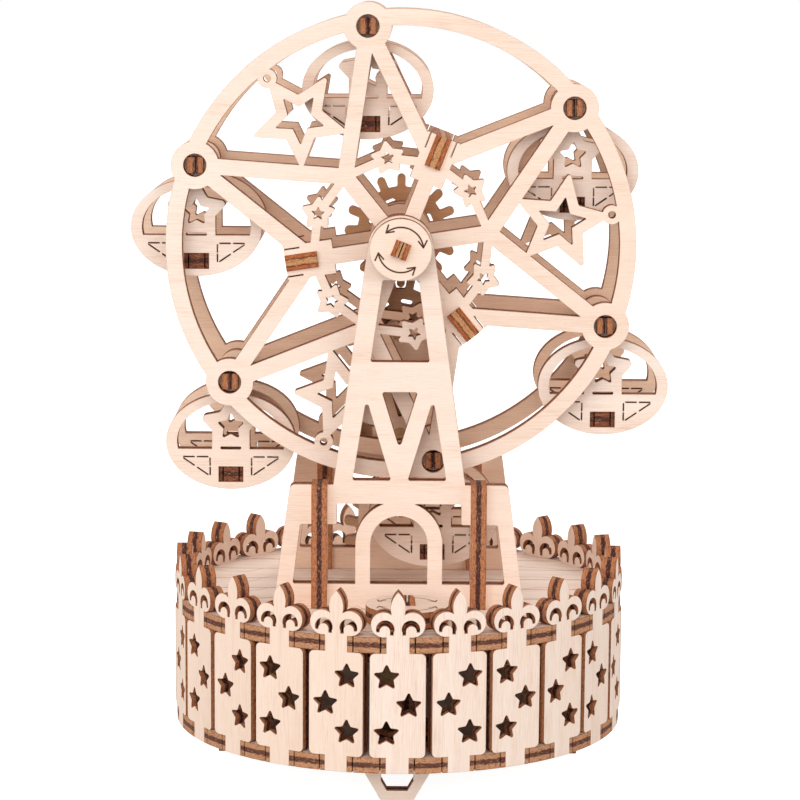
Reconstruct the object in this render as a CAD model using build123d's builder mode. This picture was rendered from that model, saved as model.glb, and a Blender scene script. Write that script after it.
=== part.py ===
from build123d import *
from math import atan2, cos, degrees, hypot, radians, sin, tan
import os

# Crank ferris wheel toy, laser-cut from flat plywood and pegged together.
# Millimetres, +Z up, front at -Y, origin on the floor under the middle of the drum.

# --- board, lines and fits -------------------------------------------------
BOARD = 4.0              # thickness of the plywood that every flat piece is cut from
LINE = 0.35              # width of a laser line cut as a slit or a groove
GROOVE = 0.4             # depth of an engraved line
ARROW_HEAD = 2.0         # barbs of an engraved arrow
ARROW_SPREAD = 32
SIDE_GAP = 0.4           # side gap between a turning board and a still one
TURN_GAP = 0.08          # radial gap round a turning shaft

# --- drum ------------------------------------------------------------------
FOOT_HEIGHT = 10.0       # floor to the underside of the base plate
WALL_HEIGHT = 26.0       # height of the fence panels between the two plates
FENCE_RADIUS = 58.0      # drum axis to the outer face of a fence panel
PANEL_COUNT = 24
PANELS_PER_FILE = 4
PANEL_WIDTH = 13.6
PANEL_SOFT = 1.3         # corner radius of a panel body
NECK_WIDTH = 5.6         # neck of a panel, in a notch of each plate
PLATE_RADIUS = 58.0
NOTCH_SLIT_GAP = 1.4     # from a notch to the relief slit beside it
NOTCH_SLIT_LENGTH = 3.0

PETAL_FOOT = 3.2         # width of the lily's middle petal where it leaves the side petals
PETAL_FOOT_RISE = 5.6
PETAL_WIDTH = 3.55       # its widest, at its belly
PETAL_BELLY_RISE = 7.7
PETAL_RISE = 11.1        # platform to the tip of the petal
LOBE_RADIUS = 3.1        # rolled side petals
LOBE_OFFSET = 3.5
CRESCENT_RADIUS = 2.2    # crescent cut in a side petal
CRESCENT_OFFSET = 3.1
CRESCENT_RISE = 2.0
CRESCENT_FOOT_RISE = 1.3
PEARL_RADIUS = 1.3       # round end of the roll inside the crescent
PEARL_OFFSET = 3.2
PEARL_RISE = 1.5
HOOK_SIZE = (0.8, 0.9)   # square foot of the crescent beside the middle petal
HOOK_OFFSET = 1.5
HOOK_RISE = 1.0

PANEL_STAR_TIP = 3.6
PANEL_STAR_NOTCH = 1.75
PANEL_STAR_SOFT = 0.35
PANEL_STAR_OFFSET = 2.7
PANEL_STAR_PITCH = 7.0

FOOT_COUNT = 4
FOOT_CIRCLE = 45.0       # drum axis to the middle of a foot
FOOT_SIDE = 8.0          # side of the half hexagon
FOOT_BAND = 2.5          # width of its band
FOOT_TAB = 6.0

# --- towers ----------------------------------------------------------------
TOWER_FACE = 20.6        # drum axis plane to the inner face of a tower
TOWER_FOOT = 31.7        # half width on the platform
TOWER_SHOULDER = 27.5    # half width at the shoulders
SHOULDER_RISE = 31.3     # platform to the shoulders
SHOULDER_SOFT = 1.5
MAST_FOOT = 16.6         # half width of the mast at the shoulders
HEAD_RADIUS = 8.2        # round head of a tower
HEAD_RISE = 91.0         # platform to the wheel axle
MAST_TAB = 8.0           # tabs through the platform
MAST_TAB_OFFSET = 12.0
WINDOW_SOFT = 0.5

BAND_LOW = 54.9          # bare cross band of the mast, heights over the platform
BAND_HIGH = 62.5
TOP_WINDOW_HIGH = 83.0
TOP_WINDOW_FOOT = 7.4
TOP_WINDOW_HEAD = 4.5
VEE_HALF = 4.5
VEE_TIP = 40.4
TRIANGLE_FOOT = 32.4
TRIANGLE_TIP = 53.4
TRIANGLE_TIP_X = 8.4
TRIANGLE_INNER = 2.1
TRIANGLE_OUTER = 11.8
SILL = 5.8               # bottom band of a tower
SIDE_WINDOW_HIGH = 26.4
SIDE_WINDOW_STEP = 21.1
SIDE_WINDOW_STEP_X = 15.7
SIDE_WINDOW_EDGE = 24.9
SIDE_WINDOW_FOOT = 26.8
ARCH_OUTER = 11.0
ARCH_INNER = 7.2
ARCH_SPRING = 16.1

RIB_OFFSET = 20.0        # tower middle to a rib's middle
RIB_FRONT = 3.4          # how far a rib stands proud of the tower's outer face
RIB_BACK = 1.4           # and of its inner face
RIB_OVER = 0.4           # over the shoulders
RIB_LAP = 5.1            # depth of the tower's notch in the cross lap

# --- wheel -----------------------------------------------------------------
SPOKE_TURN = 8.9         # first spoke from +X, as the wheel stands
SPOKE_COUNT = 6
RING_FACE = 14.6         # wheel middle plane to the inner face of a ring
RIM_OUTER = 59.0
RIM_INNER = 54.9
PIVOT_CIRCLE = 55.3      # axle to the gondola pivots
BOSS_RADIUS = 6.0
BAR_WIDTH = 4.0          # spokes and zigzag bars
NODE_CIRCLE = 22.3       # where spokes and zigzag bars meet
RING_HUB = 8.0
LINK_WIDTH = 2.2         # links of the small star chain
SMALL_STAR_TIP = 4.7
SMALL_STAR_NOTCH = 2.7
SMALL_STAR_SOFT = 0.5
SMALL_HOLE_TIP = 1.8
SMALL_HOLE_NOTCH = 0.85
SMALL_HOLE_SOFT = 0.12
BIG_STAR_CIRCLE = 40.6
BIG_STAR_TIP = 12.9
BIG_STAR_NOTCH = 6.0
BIG_STAR_SOFT = 0.6
BIG_HOLE_TIP = 6.5
BIG_HOLE_NOTCH = 3.0
BIG_HOLE_SOFT = 0.2
STAR_TAB = 2.4           # round tab between a big star and the rim
STAR_TAB_CIRCLE = 53.4
STAR_TAB_HOLE = 0.95
CROSSBAR_COUNT = 3
CROSSBAR_WIDTH = 8.1     # radial width of a crossbar
CROSSBAR_CIRCLE = 25.2   # axle to its middle
CROSSBAR_PROUD = 1.0     # how far it stands out of a ring
BLOCK_WIDTH = 8.6        # ring block round a crossbar, open at its outer end
BLOCK_INNER = 17.0
BLOCK_SLIT = 4.0
BLOCK_SLIT_OFFSET = 3.45
AXLE_SIZE = 4.0          # square axle
AXLE_PROUD = 2.0         # axle end past the front disc
SLIT_DEPTH = 8.0         # saw slit in an axle end
HUB_DISC_RADIUS = 7.7
HUB_ARROW_RADIUS = 5.6
HUB_ARROW_SPANS = ((6, 131), (188, 310))

# --- gondolas --------------------------------------------------------------
PEG_SIZE = 4.0           # square pivot bar
PEG_RECESS = 1.0         # end of the bar behind the ring's face
GONDOLA_GAP = 0.5        # side plate to ring
OVAL_HALF_WIDTH = 16.5
OVAL_HALF_HEIGHT = 12.35
OVAL_DROP = 15.9         # pivot to the oval's middle
OVAL_SIDE_BAND = 2.8
OVAL_TOP_BAND = 2.1
LUG_RADIUS = 4.4
SEAT_LINE = 17.9         # pivot to the top of the solid part
SEAT_BACK_WIDTH = 9.6
SEAT_STAR_TIP = 8.6
SEAT_STAR_NOTCH = 4.6
SEAT_STAR_SOFT = 1.0
SEAT_STAR_DROP = 12.1
SEAT_HOLE_TIP = 3.75
SEAT_HOLE_NOTCH = 1.9
SEAT_HOLE_SOFT = 0.35
SEAT_SLOT = (5.3, 0.75)
SEAT_SLOT_DROP = 17.6
FLOOR_DROP = 24.4        # pivot to the middle of the floor board
FLOOR_WIDTH = 18.0
FLOOR_TAB = 6.3
FLOOR_RECESS = 0.8       # end of a floor tab behind the side plate's face
FLOOR_SLIT_INSET = 1.1   # relief slits beside the ends of a tab
FLOOR_SLIT_LENGTH = 3.0
PANE_INNER = 5.3         # dashed quarter panes of the side plates
PANE_OUTER = 12.6
PANE_TOP = 19.9
PANE_FOOT = 24.9
DASH_SHARE = 0.36        # share of a pane's side that one dash takes
DASH_INSET = 0.08        # share of the side before its first dash

# --- gears -----------------------------------------------------------------
MODULE = 1.7
TRAIN_TEETH = 16         # the wheel's gear and the three behind the rear tower
DRUM_TEETH = 34
PINION_TEETH = 12
TOOTH_WIDTH = 2.2
ADDENDUM = 1.5
DEDENDUM = 1.95
ROOT_SOFT = 0.45
EYE_COUNT = 8            # small windows round a train gear
EYE_CIRCLE = 8.2
EYE_SIZE = (3.2, 1.4)
PIN_RADIUS = 2.0         # pins that carry the train gears
PIN_BOSS = 4.6           # bosses of the rear tower round the pins
KEEPER_RADIUS = 5.0
GEAR_DROP = 0.9          # platform underside to the drum gear
MESH_SHIFT = 0.4         # drum gear drawn forward from the middle of the transfer gear's board
DRUM_WINDOW_COUNT = 6
DRUM_WINDOW_CIRCLE = 16.5
DRUM_WINDOW_RADIUS = 4.6
POST_RADIUS = 5.0
POST_PIN = 2.5

# --- crank -----------------------------------------------------------------
CRANK_X = 2.2            # crank axle beside the middle plane
CRANK_DISC_RADIUS = 10.3
CRANK_LIFT = 0.5         # platform to the crank disc
CRANK_PROUD = 1.8
CRANK_END_SOFT = 1.2     # rounded shoulders of the axle's end
CRANK_ARROW_RADIUS = 7.4
CRANK_ARROW_SPANS = ((20, 160), (200, 340))
STEP_RADIUS = 8.0        # footstep bearing of the crank axle
STEP_CLEAR = 0.3

# --- heights and places that follow ----------------------------------------
BASE_TOP = FOOT_HEIGHT + BOARD
PLATFORM_LOW = BASE_TOP + WALL_HEIGHT
PLATFORM = PLATFORM_LOW + BOARD
HUB = PLATFORM + HEAD_RISE
TOWER_BACK = TOWER_FACE + BOARD
RING_OUTSIDE = RING_FACE + BOARD
TRAIN_FACE = TOWER_BACK + SIDE_GAP
TRAIN_RADIUS = MODULE * TRAIN_TEETH / 2
TRAIN_STEP = 2 * TRAIN_RADIUS
TRAIN_HEIGHTS = [HUB - TRAIN_STEP * i for i in range(4)]
KEEPER_FACE = TRAIN_FACE + BOARD + SIDE_GAP
DRUM_GEAR_LOW = PLATFORM_LOW - GEAR_DROP - BOARD
DRUM_PITCH = MODULE * DRUM_TEETH / 2
PINION_PITCH = MODULE * PINION_TEETH / 2
DRUM_GEAR_Y = TRAIN_FACE + BOARD / 2 - DRUM_PITCH - MESH_SHIFT
CRANK_REACH = DRUM_PITCH + PINION_PITCH
CRANK_Y = DRUM_GEAR_Y - (CRANK_REACH**2 - CRANK_X**2) ** 0.5
CRANK_TURN = degrees(atan2(CRANK_Y - DRUM_GEAR_Y, CRANK_X))
AXLE_HOLE = AXLE_SIZE / 2**0.5 + TURN_GAP
PEG_HOLE = PEG_SIZE / 2**0.5 + TURN_GAP
SPOKE_STEP = 360 / SPOKE_COUNT
AXLE_TURN = SPOKE_TURN + SPOKE_STEP


def polar(radius, angle):
    """Point of a sketch at a radius and an angle in degrees."""
    return (radius * cos(radians(angle)), radius * sin(radians(angle)))


def upright(back, height=0.0, across=0.0):
    """Plane of an upright board that faces the front, at its back face."""
    return Plane(origin=(across, back, height), x_dir=(1, 0, 0), z_dir=(0, -1, 0))


def finish(piece, name):
    """Labels a finished piece and writes its file."""
    piece.part.label = name
    export_step(piece.part, f"parts/{name}.step")


def star(tip, notch, soft):
    """Five-pointed star with its first tip along +X."""
    with BuildSketch(mode=Mode.PRIVATE) as shape:
        corners = [polar(notch if i % 2 else tip, 36 * i) for i in range(10)]
        Polygon(*corners, align=None)
        fillet(shape.vertices(), soft)
    return shape.sketch


def softened(corners, soft):
    """Straight-sided window with softened corners."""
    with BuildSketch(mode=Mode.PRIVATE) as shape:
        Polygon(*corners, align=None)
        fillet(shape.vertices(), soft)
    return shape.sketch


def bar_between(start, end, width):
    """Straight bar from one point to another, with round ends."""
    (x1, y1), (x2, y2) = start, end
    with BuildSketch(mode=Mode.PRIVATE) as shape:
        with Locations(((x1 + x2) / 2, (y1 + y2) / 2)):
            length = hypot(x2 - x1, y2 - y1)
            turn = degrees(atan2(y2 - y1, x2 - x1))
            SlotCenterToCenter(length, width, rotation=turn)
    return shape.sketch


def arrow_line(radius, start, end):
    """Engraved arc with an arrow head at each end."""
    with BuildSketch(mode=Mode.PRIVATE) as shape:
        SlotArc(Edge.make_circle(radius, start_angle=start, end_angle=end), LINE)
        for angle, way in ((start, 90), (end, -90)):
            tip = polar(radius, angle)
            for spread in (-ARROW_SPREAD, ARROW_SPREAD):
                back = polar(ARROW_HEAD, angle + way + spread)
                add(bar_between(tip, (tip[0] + back[0], tip[1] + back[1]), LINE))
    return shape.sketch


def gear_outline(teeth, first):
    """Gear with finger-like teeth, the first one at the given angle."""
    pitch = MODULE * teeth / 2
    root = pitch - DEDENDUM
    tip = pitch + ADDENDUM
    finger = tip - root + TOOTH_WIDTH
    with BuildSketch(mode=Mode.PRIVATE) as shape:
        Circle(root)
        with PolarLocations(tip - finger / 2, teeth, start_angle=first):
            SlotOverall(finger, TOOTH_WIDTH)
        roots = [v for v in shape.vertices() if abs(hypot(v.X, v.Y) - root) < TOOTH_WIDTH / 10]
        fillet(roots, ROOT_SOFT)
    return shape.sketch


SMALL_STAR = star(SMALL_STAR_TIP, SMALL_STAR_NOTCH, SMALL_STAR_SOFT)
SMALL_HOLE = star(SMALL_HOLE_TIP, SMALL_HOLE_NOTCH, SMALL_HOLE_SOFT)
BIG_STAR = star(BIG_STAR_TIP, BIG_STAR_NOTCH, BIG_STAR_SOFT)
BIG_HOLE = star(BIG_HOLE_TIP, BIG_HOLE_NOTCH, BIG_HOLE_SOFT)
PANEL_STAR = star(PANEL_STAR_TIP, PANEL_STAR_NOTCH, PANEL_STAR_SOFT)
SEAT_STAR = star(SEAT_STAR_TIP, SEAT_STAR_NOTCH, SEAT_STAR_SOFT)
SEAT_HOLE = star(SEAT_HOLE_TIP, SEAT_HOLE_NOTCH, SEAT_HOLE_SOFT)


# --- feet and plates -------------------------------------------------------
def foot_outline():
    """Half-hexagon loop with a tab for the base plate, standing on the floor."""
    side = FOOT_SIDE
    rise = side * sin(radians(60))
    with BuildSketch(mode=Mode.PRIVATE) as shape:
        Polygon((-side / 2, 0), (side / 2, 0), (side, rise), (side, FOOT_HEIGHT),
                (-side, FOOT_HEIGHT), (-side, rise), align=None)
        inner = side - 2 * FOOT_BAND * (1 / sin(radians(60)) - 1 / tan(radians(60)))
        top = FOOT_HEIGHT - FOOT_BAND
        half = inner / 2
        lift = (top - FOOT_BAND) / 2
        flare = lift / tan(radians(60))
        Polygon((-half, FOOT_BAND), (half, FOOT_BAND), (half + flare, FOOT_BAND + lift),
                (half + flare, top), (-half - flare, top), (-half - flare, FOOT_BAND + lift),
                align=None, mode=Mode.SUBTRACT)
        with Locations((0, FOOT_HEIGHT + BOARD / 2)):
            Rectangle(FOOT_TAB, BOARD)
    return shape.sketch


FOOT = foot_outline()
FOOT_ANGLES = [360 / FOOT_COUNT * i for i in range(FOOT_COUNT)]


def tangent_plane(angle, radius):
    """Plane across the drum's radius, its normal outward; angle 0 is the front."""
    out = (sin(radians(angle)), -cos(radians(angle)))
    along = (cos(radians(angle)), sin(radians(angle)))
    return Plane(origin=(out[0] * radius, out[1] * radius, 0),
                 x_dir=(along[0], along[1], 0), z_dir=(out[0], out[1], 0))


with BuildPart() as feet:
    for angle in FOOT_ANGLES:
        with BuildSketch(tangent_plane(angle, FOOT_CIRCLE - BOARD / 2)):
            add(FOOT)
        extrude(amount=BOARD)
finish(feet, "feet")


def plate_outline():
    """Round plate with a notch for each panel neck and a relief slit at each side of it."""
    notch = PLATE_RADIUS - FENCE_RADIUS + BOARD
    slit = NECK_WIDTH / 2 + NOTCH_SLIT_GAP
    with BuildSketch(mode=Mode.PRIVATE) as shape:
        Circle(PLATE_RADIUS)
        with PolarLocations(PLATE_RADIUS - notch / 2 + LINE / 2, PANEL_COUNT, start_angle=-90):
            Rectangle(notch + LINE, NECK_WIDTH, mode=Mode.SUBTRACT)
        with PolarLocations(PLATE_RADIUS - NOTCH_SLIT_LENGTH / 2, PANEL_COUNT, start_angle=-90):
            with Locations((0, slit), (0, -slit)):
                Rectangle(NOTCH_SLIT_LENGTH, LINE, mode=Mode.SUBTRACT)
    return shape.sketch


PLATE = plate_outline()

with BuildPart() as base_plate:
    with BuildSketch(Plane.XY.offset(FOOT_HEIGHT)):
        add(PLATE)
        with PolarLocations(FOOT_CIRCLE, FOOT_COUNT, start_angle=-90):
            Rectangle(BOARD, FOOT_TAB, mode=Mode.SUBTRACT)
    extrude(amount=BOARD)
finish(base_plate, "base_plate")

TRAIN_SLOT = 2 * (TRAIN_RADIUS + ADDENDUM)

with BuildPart() as platform:
    with BuildSketch(Plane.XY.offset(PLATFORM_LOW)):
        add(PLATE)
        for side in (-1, 1):
            with Locations((side * MAST_TAB_OFFSET, TOWER_FACE + BOARD / 2),
                           (side * MAST_TAB_OFFSET, -TOWER_FACE - BOARD / 2)):
                Rectangle(MAST_TAB, BOARD, mode=Mode.SUBTRACT)
        with Locations((0, TRAIN_FACE + BOARD / 2)):
            Rectangle(TRAIN_SLOT, BOARD + 2 * SIDE_GAP, mode=Mode.SUBTRACT)
        with Locations((CRANK_X, CRANK_Y)):
            Circle(AXLE_HOLE, mode=Mode.SUBTRACT)
    extrude(amount=BOARD)
finish(platform, "platform")


# --- fence -----------------------------------------------------------------
def petal_outline():
    """Pointed middle petal, from the platform up."""
    with BuildSketch(mode=Mode.PRIVATE) as shape:
        with BuildLine():
            foot = (PETAL_FOOT / 2, PETAL_FOOT_RISE)
            belly = (PETAL_WIDTH / 2, PETAL_BELLY_RISE)
            Line((0, 0), (PETAL_FOOT / 2, 0))
            Line((PETAL_FOOT / 2, 0), foot)
            ThreePointArc(foot, belly, (0, PETAL_RISE))
            Line((0, PETAL_RISE), (0, 0))
        make_face()
        mirror(about=Plane.YZ)
    return shape.sketch


def crescent(side):
    """Crescent cut of a side petal, with a hooked foot beside the middle petal."""
    with BuildSketch(mode=Mode.PRIVATE) as shape:
        with Locations((side * CRESCENT_OFFSET, CRESCENT_RISE)):
            Circle(CRESCENT_RADIUS)
        with Locations((side * CRESCENT_OFFSET, CRESCENT_FOOT_RISE - CRESCENT_RADIUS)):
            Rectangle(2 * CRESCENT_RADIUS, 2 * CRESCENT_RADIUS, mode=Mode.SUBTRACT)
        with Locations((side * PEARL_OFFSET, PEARL_RISE)):
            Circle(PEARL_RADIUS, mode=Mode.SUBTRACT)
        with Locations((side * HOOK_OFFSET, HOOK_RISE)):
            Rectangle(*HOOK_SIZE)
    return shape.sketch


def lily_outline():
    """Lily over a panel, from the platform up, its middle at the origin."""
    with BuildSketch(mode=Mode.PRIVATE) as shape:
        add(petal_outline())
        with Locations((0, LOBE_RADIUS / 2)):
            Rectangle(2 * LOBE_OFFSET, LOBE_RADIUS)
        with Locations((LOBE_OFFSET, LOBE_RADIUS), (-LOBE_OFFSET, LOBE_RADIUS)):
            Circle(LOBE_RADIUS)
        for side in (-1, 1):
            add(crescent(side), mode=Mode.SUBTRACT)
    return shape.sketch


LILY = lily_outline()


def panel_outline(first_side):
    """Fence panel with three stars that step from side to side."""
    middle = BASE_TOP + WALL_HEIGHT / 2
    with BuildSketch(mode=Mode.PRIVATE) as shape:
        with Locations((0, middle)):
            RectangleRounded(PANEL_WIDTH, WALL_HEIGHT, PANEL_SOFT)
        with Locations((0, (FOOT_HEIGHT + PLATFORM) / 2)):
            Rectangle(NECK_WIDTH, PLATFORM - FOOT_HEIGHT)
        with Locations((0, PLATFORM)):
            add(LILY)
        for row, side in ((1, first_side), (0, -first_side), (-1, first_side)):
            place = (side * PANEL_STAR_OFFSET, middle + row * PANEL_STAR_PITCH)
            with Locations(Location(place, 90)):
                add(PANEL_STAR, mode=Mode.SUBTRACT)
    return shape.sketch


PANELS = [panel_outline(-1), panel_outline(1)]

for start in range(0, PANEL_COUNT, PANELS_PER_FILE):
    with BuildPart() as fence_group:
        for index in range(start, min(start + PANELS_PER_FILE, PANEL_COUNT)):
            turn = 360 / PANEL_COUNT * index
            with BuildSketch(tangent_plane(turn, FENCE_RADIUS - BOARD)):
                add(PANELS[index % 2])
            extrude(amount=BOARD)
    finish(fence_group, f"fence_group_{start // PANELS_PER_FILE + 1}")


# --- towers ----------------------------------------------------------------
def tower_body():
    """Outline of a tower, its origin on the platform."""
    head = (MAST_FOOT - HEAD_RADIUS) / (HEAD_RISE - SHOULDER_RISE)
    with BuildSketch(mode=Mode.PRIVATE) as foot:
        Polygon((-TOWER_FOOT, 0), (TOWER_FOOT, 0), (TOWER_SHOULDER, SHOULDER_RISE),
                (-TOWER_SHOULDER, SHOULDER_RISE), align=None)
        fillet(foot.vertices().group_by(Axis.Y)[-1], SHOULDER_SOFT)
    with BuildSketch(mode=Mode.PRIVATE) as shape:
        add(foot.sketch)
        cheek = HEAD_RADIUS / (1 + head**2) ** 0.5
        Polygon((-MAST_FOOT, SHOULDER_RISE - SHOULDER_SOFT), (MAST_FOOT, SHOULDER_RISE - SHOULDER_SOFT),
                (MAST_FOOT, SHOULDER_RISE), (cheek, HEAD_RISE + cheek * head),
                (-cheek, HEAD_RISE + cheek * head), (-MAST_FOOT, SHOULDER_RISE), align=None)
        with Locations((0, HEAD_RISE)):
            Circle(HEAD_RADIUS)
        with Locations((MAST_TAB_OFFSET, -BOARD / 2), (-MAST_TAB_OFFSET, -BOARD / 2)):
            Rectangle(MAST_TAB, BOARD)
        with Locations((0, HEAD_RISE)):
            Circle(AXLE_HOLE, mode=Mode.SUBTRACT)
        with Locations((RIB_OFFSET, SHOULDER_RISE), (-RIB_OFFSET, SHOULDER_RISE)):
            Rectangle(BOARD, 2 * RIB_LAP, mode=Mode.SUBTRACT)
    return shape.sketch


def side_window(side):
    """Stepped window between the arch and an outer leg."""
    with BuildSketch(mode=Mode.PRIVATE) as shape:
        Polygon((0, SILL), (side * SIDE_WINDOW_FOOT, SILL),
                (side * SIDE_WINDOW_EDGE, SIDE_WINDOW_STEP),
                (side * SIDE_WINDOW_STEP_X, SIDE_WINDOW_STEP),
                (side * SIDE_WINDOW_STEP_X, SIDE_WINDOW_HIGH), (0, SIDE_WINDOW_HIGH), align=None)
        Rectangle(2 * ARCH_OUTER, 2 * ARCH_SPRING, mode=Mode.SUBTRACT)
        with Locations((0, ARCH_SPRING)):
            Circle(ARCH_OUTER, mode=Mode.SUBTRACT)
        outer = [v for v in shape.vertices() if abs(v.X) > (ARCH_OUTER + SIDE_WINDOW_STEP_X) / 2]
        fillet(outer, WINDOW_SOFT)
    return shape.sketch


def tower_windows():
    """Openings that both towers have."""
    with BuildSketch(mode=Mode.PRIVATE) as shape:
        add(softened([(-TOP_WINDOW_FOOT, BAND_HIGH), (TOP_WINDOW_FOOT, BAND_HIGH),
                      (TOP_WINDOW_HEAD, TOP_WINDOW_HIGH), (-TOP_WINDOW_HEAD, TOP_WINDOW_HIGH)],
                     WINDOW_SOFT))
        add(softened([(-VEE_HALF, BAND_LOW), (0, VEE_TIP), (VEE_HALF, BAND_LOW)], WINDOW_SOFT))
        for side in (-1, 1):
            add(softened([(side * TRIANGLE_INNER, TRIANGLE_FOOT),
                          (side * TRIANGLE_OUTER, TRIANGLE_FOOT),
                          (side * TRIANGLE_TIP_X, TRIANGLE_TIP)], WINDOW_SOFT))
            add(side_window(side))
    return shape.sketch


def arch_window():
    """Open arch of the front tower."""
    with BuildSketch(mode=Mode.PRIVATE) as shape:
        with Locations((0, (SILL + ARCH_SPRING) / 2)):
            Rectangle(2 * ARCH_INNER, ARCH_SPRING - SILL)
        with Locations((0, ARCH_SPRING)):
            Circle(ARCH_INNER)
    return shape.sketch


TOWER = tower_body()
WINDOWS = tower_windows()

with BuildPart() as front_tower:
    with BuildSketch(upright(-TOWER_FACE, PLATFORM)):
        add(TOWER)
        add(WINDOWS, mode=Mode.SUBTRACT)
        add(arch_window(), mode=Mode.SUBTRACT)
    extrude(amount=BOARD)
finish(front_tower, "front_tower")

with BuildPart() as rear_tower:
    with BuildSketch(upright(TOWER_BACK, PLATFORM)):
        add(TOWER)
        add(WINDOWS, mode=Mode.SUBTRACT)
        for height in TRAIN_HEIGHTS[1:3]:
            with Locations((0, height - PLATFORM)):
                Circle(PIN_BOSS)
                Rectangle(2 * TOP_WINDOW_FOOT, PIN_BOSS)
        for height in TRAIN_HEIGHTS[1:]:
            with Locations((0, height - PLATFORM)):
                Circle(PIN_RADIUS, mode=Mode.SUBTRACT)
    extrude(amount=BOARD)
finish(rear_tower, "rear_tower")


def rib_outline(side):
    """Rib that laps over a tower; side -1 is the front tower, 1 the rear one."""
    inner = side * (TOWER_FACE - RIB_BACK)
    outer = side * (TOWER_BACK + RIB_FRONT)
    lap = SHOULDER_RISE - RIB_LAP
    top = SHOULDER_RISE + RIB_OVER
    with BuildSketch(mode=Mode.PRIVATE) as shape:
        with Locations(((inner + outer) / 2, top / 2)):
            Rectangle(abs(outer - inner), top)
        with Locations((side * (TOWER_FACE + BOARD / 2), lap / 2)):
            Rectangle(BOARD, lap, mode=Mode.SUBTRACT)
    return shape.sketch


for end, side in (("front", -1), ("rear", 1)):
    rib = rib_outline(side)
    for hand, way in (("left", -1), ("right", 1)):
        rib_plane = Plane(origin=(way * RIB_OFFSET - BOARD / 2, 0, PLATFORM),
                          x_dir=(0, 1, 0), z_dir=(1, 0, 0))
        with BuildPart() as tower_rib:
            with BuildSketch(rib_plane):
                add(rib)
            extrude(amount=BOARD)
        finish(tower_rib, f"{end}_{hand}_rib")


# --- wheel -----------------------------------------------------------------
def square_shaft(size, turn):
    """Square bore or shaft section, turned in its sketch."""
    with BuildSketch(mode=Mode.PRIVATE) as shape:
        Rectangle(size, size, rotation=turn)
    return shape.sketch


def ring_outline():
    """Wheel ring with spokes, zigzag bars, star chain and three big stars."""
    nodes = [SPOKE_TURN + SPOKE_STEP * i for i in range(SPOKE_COUNT)]
    between = SPOKE_TURN + SPOKE_STEP / 2
    block = CROSSBAR_CIRCLE + CROSSBAR_WIDTH / 2
    with BuildSketch(mode=Mode.PRIVATE) as shape:
        Circle(RIM_OUTER)
        Circle(RIM_INNER, mode=Mode.SUBTRACT)
        Circle(RING_HUB)
        for angle in nodes:
            add(bar_between((0, 0), polar(NODE_CIRCLE, angle), BAR_WIDTH))
            for side in (-SPOKE_STEP / 2, SPOKE_STEP / 2):
                add(bar_between(polar(NODE_CIRCLE, angle), polar(PIVOT_CIRCLE, angle + side), BAR_WIDTH))
                add(bar_between(polar(NODE_CIRCLE, angle), polar(NODE_CIRCLE, angle + side), LINK_WIDTH))
        with PolarLocations(PIVOT_CIRCLE, SPOKE_COUNT, start_angle=between):
            Circle(BOSS_RADIUS)
        with PolarLocations(NODE_CIRCLE, SPOKE_COUNT, start_angle=between):
            add(SMALL_STAR)
        with PolarLocations(BIG_STAR_CIRCLE, CROSSBAR_COUNT, start_angle=SPOKE_TURN):
            add(BIG_STAR)
        with PolarLocations(STAR_TAB_CIRCLE, CROSSBAR_COUNT, start_angle=SPOKE_TURN):
            Circle(STAR_TAB)
        with PolarLocations((BLOCK_INNER + block) / 2, CROSSBAR_COUNT, start_angle=AXLE_TURN):
            Rectangle(block - BLOCK_INNER, BLOCK_WIDTH)
        with PolarLocations(PIVOT_CIRCLE, SPOKE_COUNT, start_angle=between):
            Circle(PEG_HOLE, mode=Mode.SUBTRACT)
        with PolarLocations(NODE_CIRCLE, SPOKE_COUNT, start_angle=between):
            add(SMALL_HOLE, mode=Mode.SUBTRACT)
        with PolarLocations(BIG_STAR_CIRCLE, CROSSBAR_COUNT, start_angle=SPOKE_TURN):
            add(BIG_HOLE, mode=Mode.SUBTRACT)
        with PolarLocations(STAR_TAB_CIRCLE, CROSSBAR_COUNT, start_angle=SPOKE_TURN):
            Circle(STAR_TAB_HOLE, mode=Mode.SUBTRACT)
        with PolarLocations(CROSSBAR_CIRCLE, CROSSBAR_COUNT, start_angle=AXLE_TURN):
            Rectangle(CROSSBAR_WIDTH, BOARD, mode=Mode.SUBTRACT)
        with PolarLocations(block - BLOCK_SLIT / 2, CROSSBAR_COUNT, start_angle=AXLE_TURN):
            with Locations((0, BLOCK_SLIT_OFFSET), (0, -BLOCK_SLIT_OFFSET)):
                Rectangle(BLOCK_SLIT, LINE, mode=Mode.SUBTRACT)
        add(square_shaft(AXLE_SIZE, AXLE_TURN), mode=Mode.SUBTRACT)
    return shape.sketch


RING = ring_outline()

for name, back in (("front_ring", -RING_FACE), ("rear_ring", RING_OUTSIDE)):
    with BuildPart() as ring:
        with BuildSketch(upright(back, HUB)):
            add(RING)
        extrude(amount=BOARD)
    finish(ring, name)

for index in range(CROSSBAR_COUNT):
    with BuildPart() as crossbar:
        with BuildSketch(upright(RING_OUTSIDE + CROSSBAR_PROUD, HUB)):
            turn = AXLE_TURN + 360 / CROSSBAR_COUNT * index
            with Locations(Location(polar(CROSSBAR_CIRCLE, turn), turn)):
                Rectangle(CROSSBAR_WIDTH, BOARD)
        extrude(amount=2 * (RING_OUTSIDE + CROSSBAR_PROUD))
    finish(crossbar, f"crossbar_{index + 1}")

AXLE_FRONT = TOWER_BACK + BOARD + AXLE_PROUD
AXLE_REAR = TRAIN_FACE + 2 * BOARD

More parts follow.
